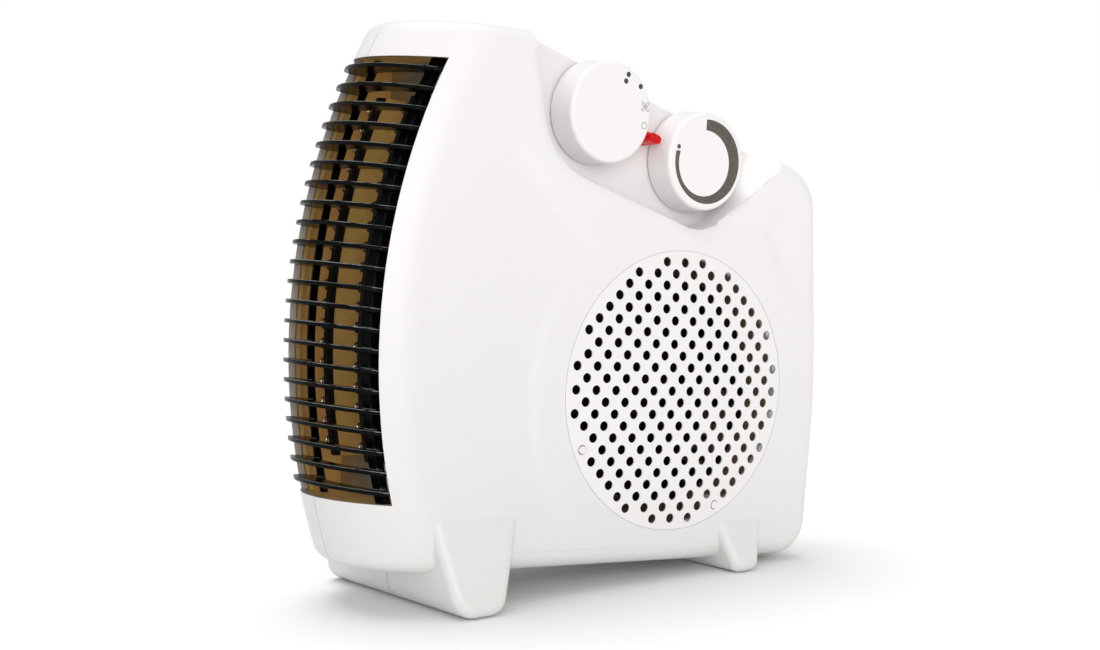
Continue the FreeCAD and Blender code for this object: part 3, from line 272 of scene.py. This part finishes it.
def passivatedSheet(name, look):
    material, tree = newMaterial(name)
    x, y, z = localPoint(tree, intakeCentre)
    drawn = addNode(tree, "ShaderNodeCombineXYZ", None,
                    {"X": x * look["across"], "Y": y * look["across"], "Z": z * look["along"]})
    streaks = noise(tree, 1.0, 4.0, 0.6, drawn)
    cloud = noise(tree, look["cloud"], 4.0, 0.6)
    colour = mixColour(tree, streaks, look["gold"], look["pale"])
    colour = mixColour(tree, (cloud - look["dullFrom"]) * look["dullGain"] | 0.0, colour, look["dull"])
    rough = look["roughness"] + (streaks - 0.5) * look["streakRough"]
    # painted light: a faint glow in the sheet's own colour
    return finishMaterial(material, Base_Color=colour, Metallic=look["metallic"], Roughness=rough,
                          Emission_Color=colour, Emission_Strength=look["paintedGlow"],
                          Normal=bump(tree, streaks, look["bump"], look["bumpDepth"]))


def sheetMetal(name, colour, roughness, scale=(300.0, 300.0, 20.0)):
    look = brushedMetal
    material, tree = newMaterial(name)
    point = addNode(tree, "ShaderNodeMapping", None, {"Vector": objectPoint(tree), "Scale": scale})
    brushed = noise(tree, look["streak"], 4.0, 0.6, point)
    cloud = noise(tree, look["cloud"], 3.0)
    darker = tuple(part * look["darken"] for part in colour)
    shading = brushed * look["streakShare"] + cloud * (1 - look["streakShare"])
    tone = mixColour(tree, shading, (*colour, 1), (*darker, 1))
    rough = roughness + (brushed - 0.5) * look["streakRough"]
    return finishMaterial(material, Base_Color=tone, Metallic=1.0, Roughness=rough,
                          Normal=bump(tree, brushed, look["bump"], look["bumpDepth"]))


def dullSolid(name, colour, roughness, speckle, scale, paintedGlow=0.0):
    look = pressedSolid
    material, tree = newMaterial(name)
    grains = noise(tree, scale, 4.0, 0.65)
    speckles = (grains - look["speckleFrom"]) * look["speckleGain"] & 1.0
    tone = mixColour(tree, speckles, (*colour, 1), (*speckle, 1))
    rough = roughness + (grains - 0.5) * look["grainRough"]
    # painted light: a glow in the solid's own tone where one is given
    return finishMaterial(material, Base_Color=tone, Roughness=rough, Specular_IOR_Level=look["gloss"],
                          Emission_Color=tone, Emission_Strength=paintedGlow,
                          Normal=bump(tree, grains, look["bump"], look["bumpDepth"]))


def clearRed(name, look):
    material, tree = newMaterial(name)
    cloud = noise(tree, look["cloud"], 2.0)
    tone = mixColour(tree, cloud, look["bright"], look["deep"])
    rough = look["roughness"] + cloud * look["cloudRough"]
    # painted light: the lens glows in its own red
    return finishMaterial(material, Base_Color=tone, Roughness=rough, IOR=look["ior"],
                          Transmission_Weight=look["through"], Specular_IOR_Level=look["gloss"],
                          Emission_Color=tone, Emission_Strength=look["paintedGlow"])


def lampGlass(name, look):
    material, tree = newMaterial(name)
    cloud = noise(tree, look["cloud"], 2.0)
    tone = mixColour(tree, cloud, look["clear"], look["tinted"])
    rough = look["roughness"] + cloud * look["cloudRough"]
    return finishMaterial(material, Base_Color=tone, Roughness=rough, IOR=look["ior"],
                          Transmission_Weight=look["through"])


# dial prints: places in millimetres from the dial's axis, x right and z up as seen from the front
selectorPrint = {"dots": [(7.9, 17.2), (6.7, 14.2), (15.1, 12.6)], "dotRadius": 1.22,
                 "fan": (18.4, 4.0), "bladeReach": 2.6, "bladeStart": 0.35, "bladeWidth": 0.50, "line": 0.29,
                 "ring": (18.4, -4.3), "ringRadius": 1.4, "faint": 0.85, "ink": (0.045, 0.042, 0.038, 1)}
thermostatPrint = {"outer": (0.4, -0.1, 19.15), "inner": (-1.5, -0.9, 15.0), "cutLeft": -1.4, "cutTop": 3.7,
                   "dot": (-17.0, 5.5, 1.1), "ink": (0.058, 0.047, 0.036, 1),
                   "faded": (0.165, 0.140, 0.112, 1), "fadeScale": 900.0, "fadeFrom": 0.35, "fadeGain": 1.6}


def selectorMask(x, z, marks):
    mask = None
    for dotX, dotZ in marks["dots"]:
        dot = inside(flatLength(x - dotX, z - dotZ) - marks["dotRadius"])
        mask = dot if mask is None else mask | dot
    ringX, ringZ = marks["ring"]
    ring = inside(abs(flatLength(x - ringX, z - ringZ) - marks["ringRadius"]) - marks["line"] * 0.5)
    fanX, fanZ = marks["fan"]
    diagonal = math.sqrt(0.5)
    u, w = ((x - fanX) + (z - fanZ)) * diagonal, ((z - fanZ) - (x - fanX)) * diagonal
    middle = (marks["bladeReach"] + marks["bladeStart"]) / 2
    half = (marks["bladeReach"] - marks["bladeStart"]) / 2 - marks["bladeWidth"]
    blades = None
    for along, across in ((abs(u), w), (abs(w), u)):
        over = (abs(along - middle) - half) | 0.0
        blade = inside(abs(flatLength(over, across) - marks["bladeWidth"]) - marks["line"] * 0.5)
        blades = blade if blades is None else blades | blade
    return mask | (ring | blades) * marks["faint"]


def thermostatMask(x, z, marks):
    outerX, outerZ, outerRadius = marks["outer"]
    innerX, innerZ, innerRadius = marks["inner"]
    dotX, dotZ, dotRadius = marks["dot"]
    outer = flatLength(x - outerX, z - outerZ) - outerRadius
    inner = innerRadius - flatLength(x - innerX, z - innerZ)
    corner = (marks["cutLeft"] - x) & (z - marks["cutTop"])  # above zero only at the upper left
    crescent = inside(outer | inner | corner)
    return crescent | inside(flatLength(x - dotX, z - dotZ) - dotRadius)


def dialPlastic(name, joint, marks, marksMask, look):
    material, tree = newMaterial(name)
    x, y, z = localPoint(tree, Vector(joints[joint]["pos_m"]))
    mask = marksMask(x, z, marks) * inside(y - look["faceDepth"], look["faceSoft"])
    mottling = noise(tree, look["sink"], 3.0)
    grain = noise(tree, look["grain"], 2.0)
    colour = mixColour(tree, mottling, look["colour"], look["shade"])
    ink = marks["ink"]
    if "faded" in marks:
        fading = noise(tree, marks["fadeScale"], 3.0, 0.7) - marks["fadeFrom"]
        ink = mixColour(tree, fading * marks["fadeGain"] & 1.0, ink, marks["faded"])
    colour = mixColour(tree, mask, colour, ink)
    rough = look["roughness"] + (grain - 0.5) * look["grainRough"] + mask * look["inkRough"]
    height = grain + mask * look["inkBump"]
    return finishMaterial(material, Base_Color=colour, Roughness=rough, IOR=plasticIor,
                          Normal=bump(tree, height, look["grainBump"], look["grainDepth"]))


dialWhite = {**whitePlastic, "colour": (0.775, 0.751, 0.748, 1), "shade": (0.757, 0.733, 0.728, 1),
             "roughness": 0.30, "grainRough": 0.08, "grainBump": 0.2, "inkRough": 0.15, "inkBump": 0.5,
             "faceDepth": 1.0, "faceSoft": 0.4}
discRoughness = 0.40
paleNylon = {**whitePlastic, "colour": (0.74, 0.72, 0.66, 1), "shade": (0.68, 0.66, 0.60, 1)}
finishes = {
    "casing": mouldedWhite("casing satin white", whitePlastic, whitePlastic["roughness"], onCasing=True),
    "disc": mouldedWhite("intake disc white", whitePlastic, discRoughness),
    "selector": dialPlastic("selector dial print", "selector_turn", selectorPrint, selectorMask, dialWhite),
    "thermostat": dialPlastic("thermostat dial print", "thermostat_turn", thermostatPrint, thermostatMask,
                              dialWhite),
    "grille": mouldedBlack("outlet grille black", blackGrille, withRimGlint=True),
    "fan": mouldedBlack("fan wheel black", blackGrille),
    "liner": passivatedSheet("passivated liner", goldSheet),
    "endPlate": sheetMetal("bright end plate", (0.62, 0.62, 0.60), 0.34),
    # painted light: the gold mica board glows faintly
    "mica": dullSolid("mica board gold", (0.62, 0.36, 0.095), 0.5, (0.74, 0.46, 0.15), 400.0, 0.09),
    # painted shade: the front mica board is coloured near black for the shade it sits in
    "paintedShadeMica": dullSolid("mica board painted shade", (0.006, 0.005, 0.004), 0.6, (0.014, 0.012, 0.010), 400.0),
    "rail": dullSolid("fired rail", (0.008, 0.007, 0.006), 0.55, (0.020, 0.018, 0.015), 600.0),
    "wire": sheetMetal("element wire", (0.80, 0.78, 0.74), 0.22, (400.0, 400.0, 400.0)),
    "can": sheetMetal("sensor can", (0.66, 0.66, 0.64), 0.3),
    "steel": sheetMetal("plated steel", (0.60, 0.60, 0.58), 0.32),
    "screw": sheetMetal("screw zinc", (0.55, 0.55, 0.53), 0.36, (200.0, 200.0, 200.0)),
    "ferrite": dullSolid("ferrite", (0.03, 0.03, 0.03), 0.6, (0.06, 0.06, 0.06), 500.0),
    "switch": mouldedBlack("switch black", blackGrille),
    "nylon": mouldedWhite("pale nylon", paleNylon, paleNylon["roughness"]),
    # painted shade: the pale scroll is coloured brown for the shaded interior seen through the intake holes
    "scroll": dullSolid("fan scroll painted shade", (0.42, 0.31, 0.19), 0.5, (0.50, 0.38, 0.24), 300.0),
    "lens": clearRed("lens red", redLens),
    "lamp": lampGlass("lamp glass", neonGlass),
}
print("finishes made:", len(finishes))

nodeFinish = {
    "casing": ["front_shell", "rear_shell", "cord_gland"],
    "disc": ["intake_grille", "grille_pins"],
    "selector": ["selector_knob"],
    "thermostat": ["thermostat_knob"],
    "grille": ["outlet_grille"],
    "fan": ["fan_wheel"],
    "liner": ["heat_liner"],
    "endPlate": ["top_end_plate", "bottom_end_plate"],
    "mica": ["rear_mica_board"],
    "paintedShadeMica": ["front_mica_board"],
    "rail": ["front_element_rail", "rear_element_rail"],
    "wire": ["low_heat_wire", "high_heat_wire"],
    "can": ["thermal_cutout", "thermal_fuse", "thermostat_body"],
    "steel": ["selector_spindle", "thermostat_spindle", "selector_nut", "thermostat_nut", "motor_can",
              "motor_rotor", "motor_shaft", "motor_bracket"],
    "screw": ["case_screws", "bracket_screws", "motor_screws", "clamp_screws"],
    "ferrite": ["motor_magnet"],
    "switch": ["selector_switch"],
    "nylon": ["motor_cap", "cord_clamp", "terminal_block"],
    "scroll": ["fan_scroll"],
    "lens": ["lamp_lens"],
    "lamp": ["neon_lamp"],
}
for finish, names in nodeFinish.items():
    for name in names:
        nodes[name].data.materials.clear()
        nodes[name].data.materials.append(finishes[finish])


# skins: merged copies that take finer shapes than their CAD nodes
mergeWithin = 1e-6


def skinOf(node):
    piece = bpy.data.objects.new(node + "_skin", nodes[node].data.copy())
    bpy.context.scene.collection.objects.link(piece)
    pickOnly(piece)
    bpy.ops.mesh.customdata_custom_splitnormals_clear()
    bpy.ops.object.mode_set(mode="EDIT")
    bpy.ops.mesh.select_all(action="SELECT")
    bpy.ops.mesh.remove_doubles(threshold=mergeWithin)
    bpy.ops.object.mode_set(mode="OBJECT")
    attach(piece, "heater")
    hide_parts(node)
    return piece


def applyModifier(piece, kind, **settings):
    pickOnly(piece)
    modifier = piece.modifiers.new(kind.lower(), kind)
    for name, value in settings.items():
        setattr(modifier, name, value)
    bpy.ops.object.modifier_apply(modifier=modifier.name)


def smoothShading(piece, angle):
    pickOnly(piece)
    bpy.ops.object.shade_smooth_by_angle(angle=math.radians(angle))
    applyModifier(piece, "WEIGHTED_NORMAL", mode="FACE_AREA", keep_sharp=True)


louvre = {"edgeRound": 0.0004, "segments": 3, "sharpFrom": 40, "smooth": 35}


def roundLouvres():
    piece = skinOf("outlet_grille")
    applyModifier(piece, "BEVEL", width=louvre["edgeRound"], segments=louvre["segments"],
                  limit_method="ANGLE", angle_limit=math.radians(louvre["sharpFrom"]),
                  use_clamp_overlap=False)
    smoothShading(piece, louvre["smooth"])
    print("louvres rounded:", len(piece.data.polygons), "faces")


# front face in casing millimetres: a soft fold runs from the scoop to the disc and round it
frontFace = {"grid": 1.7, "flat": 0.02, "facing": 0.9999, "dissolve": 0.05, "foldDrop": 1.4, "foldSoft": 3.5,
             "foldTop": (-104.0, 112.0), "foldCorner": (-56.0, 65.0), "foldRadius": 80.0, "foldFade": 45.0,
             "foldTopFade": 25.0, "arcFade": (215.0, 235.0),
             "sideTop": (63.0, 92.0), "sideCorner": (48.0, 75.0), "sideLow": (68.0, 43.0), "sideFade": 22.0,
             "sideTopFade": (10.0, 30.0), "sideLowFade": (-10.0, 15.0), "sideShare": 0.7, "smooth": 32}
# the scoop's lip rolls over, wider towards its right end
scoopLip = {"path": [(-88.0, 143.9), (-82.2, 116.7), (-79.4, 108.6), (-74.2, 101.0), (-67.1, 95.1),
                     (-58.7, 91.4), (2.6, 73.6), (8.6, 72.7), (13.5, 73.3), (17.6, 74.8), (21.7, 77.5),
                     (53.2, 101.9)],
            "narrow": 2.6, "wide": 9.0, "grow": (-14.0, 26.0), "taper": (34.0, 51.0), "steep": 0.42}
# the intake disc in its seat: a shallow groove round it, and a sheet that is relieved behind its holes
disc = {"radius": 63.0, "seat": 63.3, "dome": 3.0, "thick": 1.5, "sheet": 0.5, "relief": (59.0, 62.0),
        "groove": 0.35, "smooth": 32}


def ease(low, high, value):
    share = min(max((value - low) / (high - low), 0.0), 1.0)
    return share * share * (3 - 2 * share)


def sideOf(point, start, end):  # how far right of the way from start to end, and how far along it
    along = (Vector(end) - Vector(start)).normalized()
    away = Vector(point) - Vector(start)
    return away.x * along.y - away.y * along.x, away.dot(along)


def foldDepth(x, z):
    look = frontFace
    beside, along = sideOf((x, z), look["foldTop"], look["foldCorner"])
    outside = math.hypot(x, z) - look["foldRadius"]
    depth = 0.0
    if x < 0:
        near = min(beside, outside)
        turn = math.degrees(math.atan2(z, x)) % 360
        ends = ease(0, look["foldTopFade"], along) * (1 - ease(*look["arcFade"], turn))
        step = ease(-look["foldSoft"], look["foldSoft"], near) * (1 - ease(0, look["foldFade"], near))
        depth = look["foldDrop"] * step * ends
    upper, alongUpper = sideOf((x, z), look["sideCorner"], look["sideTop"])
    lower, alongLower = sideOf((x, z), look["sideLow"], look["sideCorner"])
    if x > 0:
        near = min(upper, lower)
        ends = (1 - ease(*look["sideTopFade"], alongUpper)) * ease(*look["sideLowFade"], alongLower)
        step = ease(-look["foldSoft"], look["foldSoft"], near) * (1 - ease(0, look["sideFade"], near))
        depth = max(depth, look["foldDrop"] * look["sideShare"] * step * ends)
    return depth


def lipDepth(x, z):
    look = scoopLip
    fade = 1 - ease(*look["taper"], x)
    width = look["narrow"] + (look["wide"] - look["narrow"]) * ease(*look["grow"], x) * fade
    point = Vector((x, z))
    away = width  # distance to the lip's path
    for start, end in zip(look["path"], look["path"][1:]):
        start, way = Vector(start), Vector(end) - Vector(start)
        share = min(max((point - start).dot(way) / way.length_squared, 0.0), 1.0)
        away = min(away, (point - start - way * share).length)
    return look["steep"] * width * fade * (1 - min(away / width, 1.0)) ** 2


def shapeFront():
    look = frontFace
    piece = skinOf("front_shell")
    mesh = piece.data
    pickOnly(piece)
    onFront = [abs(toCasing(vertex.co).y) < look["flat"] for vertex in mesh.vertices]
    group = piece.vertex_groups.new(name="front")
    group.add([index for index, flat in enumerate(onFront) if flat], 1.0, "REPLACE")
    places = [toCasing(vertex.co) for vertex, flat in zip(mesh.vertices, onFront) if flat]
    # the flat face is cleared of its triangles, then cut into a grid
    for polygon in mesh.polygons:
        polygon.select = polygon.normal.y < -look["facing"] and all(onFront[i] for i in polygon.vertices)
    bpy.ops.object.mode_set(mode="EDIT")
    bpy.ops.mesh.select_mode(type="FACE")
    bpy.ops.mesh.dissolve_limited(angle_limit=math.radians(look["dissolve"]))
    bpy.ops.mesh.select_mode(type="VERT")
    for axis, way in ((0, fromCasing(1, 0, 0) - intakeCentre), (2, fromCasing(0, 0, 1) - intakeCentre)):
        low, high = min(place[axis] for place in places), max(place[axis] for place in places)
        for step in range(1, int((high - low) / look["grid"])):
            place = Vector((0, 0, 0))
            place[axis] = low + step * look["grid"]
            bpy.ops.mesh.select_all(action="DESELECT")
            bpy.ops.object.vertex_group_select()
            bpy.ops.mesh.bisect(plane_co=fromCasing(*place), plane_no=way.normalized())
    bpy.ops.object.mode_set(mode="OBJECT")
    for vertex in mesh.vertices:
        place = toCasing(vertex.co)
        if abs(place.y) < look["flat"]:
            vertex.co.y += (foldDepth(place.x, place.z) + lipDepth(place.x, place.z)) * mm
        elif abs(math.hypot(place.x, place.z) - disc["seat"]) < look["flat"] and place.y > disc["groove"]:
            vertex.co.y = fromCasing(0, disc["groove"], 0).y
    piece.vertex_groups.clear()
    smoothShading(piece, look["smooth"])
    print("front face shaped:", len(mesh.polygons), "faces")


def thinDisc():
    piece = skinOf("intake_grille")
    bow = (disc["radius"] ** 2 + disc["dome"] ** 2) / (2 * disc["dome"])
    for vertex in piece.data.vertices:
        place = toCasing(vertex.co)
        radius = min(math.hypot(place.x, place.z), disc["radius"])
        depth = place.y - (bow - disc["dome"] - math.sqrt(bow ** 2 - radius ** 2))
        if depth > disc["thick"] / 2:
            vertex.co.y -= (disc["thick"] - disc["sheet"]) * (1 - ease(*disc["relief"], radius)) * mm
    smoothShading(piece, disc["smooth"])
    print("intake disc thinned:", len(piece.data.polygons), "faces")


# the lens is drafted from the scoop's floor towards its face, which lies a little to the right
lens = {"tip": 0.70, "shiftX": 0.9, "shiftZ": -0.4, "floor": 18.0, "edgeRound": 0.0003, "segments": 2,
        "sharpFrom": 30, "smooth": 35}


def shapeLens():
    piece = skinOf("lamp_lens")
    places = [toCasing(vertex.co) for vertex in piece.data.vertices]
    left, right = (Vector(joints[name]["pos_m"]) for name in ("selector_turn", "thermostat_turn"))
    middle = toCasing((left + right) / 2)
    top = min(place.y for place in places)
    for vertex, place in zip(piece.data.vertices, places):
        share = min(max((lens["floor"] - place.y) / (lens["floor"] - top), 0.0), 1.0)
        size = 1 - (1 - lens["tip"]) * share
        vertex.co = fromCasing(middle.x + (place.x - middle.x) * size + lens["shiftX"] * share, place.y,
                               middle.z + (place.z - middle.z) * size + lens["shiftZ"] * share)
    applyModifier(piece, "BEVEL", width=lens["edgeRound"], segments=lens["segments"],
                  limit_method="ANGLE", angle_limit=math.radians(lens["sharpFrom"]))
    smoothShading(piece, lens["smooth"])
    print("lens drafted:", len(piece.data.polygons), "faces")


roundLouvres()
shapeFront()
thinDisc()
shapeLens()


# stage
stage = {"floorSize": 60.0, "floorDrop": 0.0002, "floorRough": 0.7, "floorCloud": 3.0, "cloudRough": 0.1,
         "floorColour": (0.86, 0.86, 0.86, 1), "floorShade": (0.84, 0.84, 0.84, 1)}


def layFloor():
    bpy.ops.object.select_all(action="DESELECT")
    bpy.ops.mesh.primitive_plane_add(size=stage["floorSize"], location=(0, 0, -stage["floorDrop"]))
    floor = bpy.context.object
    floor.name = "floor"
    material, tree = newMaterial("pale floor")
    cloud = noise(tree, stage["floorCloud"], 2.0)
    tone = mixColour(tree, cloud, stage["floorColour"], stage["floorShade"])
    rough = stage["floorRough"] + cloud * stage["cloudRough"]
    floor.data.materials.append(finishMaterial(material, Base_Color=tone, Roughness=rough))


lights = {
    "overhead": {"place": (-0.1, 0.45, 2.0), "aim": (0, 0, 0.1), "angle": 40.0, "power": 1.5},
    "front": {"place": (-0.7, -1.5, 0.3), "aim": (0, 0, 0.1), "angle": 50.0, "power": 1.85},
}
sky = {"seen": 1.0, "cast": 0.7}  # the backdrop is white, and casts a little less than it shows


def hangLights():
    for name, light in lights.items():
        data = bpy.data.lights.new(name, "SUN")
        data.angle = math.radians(light["angle"])
        data.energy = light["power"]
        lamp = bpy.data.objects.new(name, data)
        lamp.location = light["place"]
        aim = Vector(light["aim"]) - Vector(light["place"])
        lamp.rotation_euler = aim.to_track_quat("-Z", "Y").to_euler()
        bpy.context.scene.collection.objects.link(lamp)
    world = bpy.data.worlds.new("studio")
    world.use_nodes = True
    tree = world.node_tree
    tree.nodes.clear()
    seen = addNode(tree, "ShaderNodeLightPath")
    backdrop = addNode(tree, "ShaderNodeBackground", None,
                       {"Color": (1, 1, 1, 1), "Strength": seen * (sky["seen"] - sky["cast"]) + sky["cast"]})
    addNode(tree, "ShaderNodeOutputWorld", None, {"Surface": backdrop})
    bpy.context.scene.world = world


view = {"eye": (-0.5194, -0.6956, 0.1811), "look": (0.596, 0.799, -0.076), "lens": 62.77, "sensor": 36.0,
        "nearest": 0.02}


def setCamera():
    data = bpy.data.cameras.new("photo view")
    data.lens = view["lens"]
    data.sensor_width = view["sensor"]
    data.sensor_fit = "HORIZONTAL"
    data.clip_start = view["nearest"]
    camera = bpy.data.objects.new("photo view", data)
    camera.location = view["eye"]
    camera.rotation_euler = Vector(view["look"]).to_track_quat("-Z", "Y").to_euler()
    bpy.context.scene.collection.objects.link(camera)
    bpy.context.scene.camera = camera


layFloor()
hangLights()
setCamera()
bpy.context.scene.view_settings.view_transform = "Standard"
print("stage set")
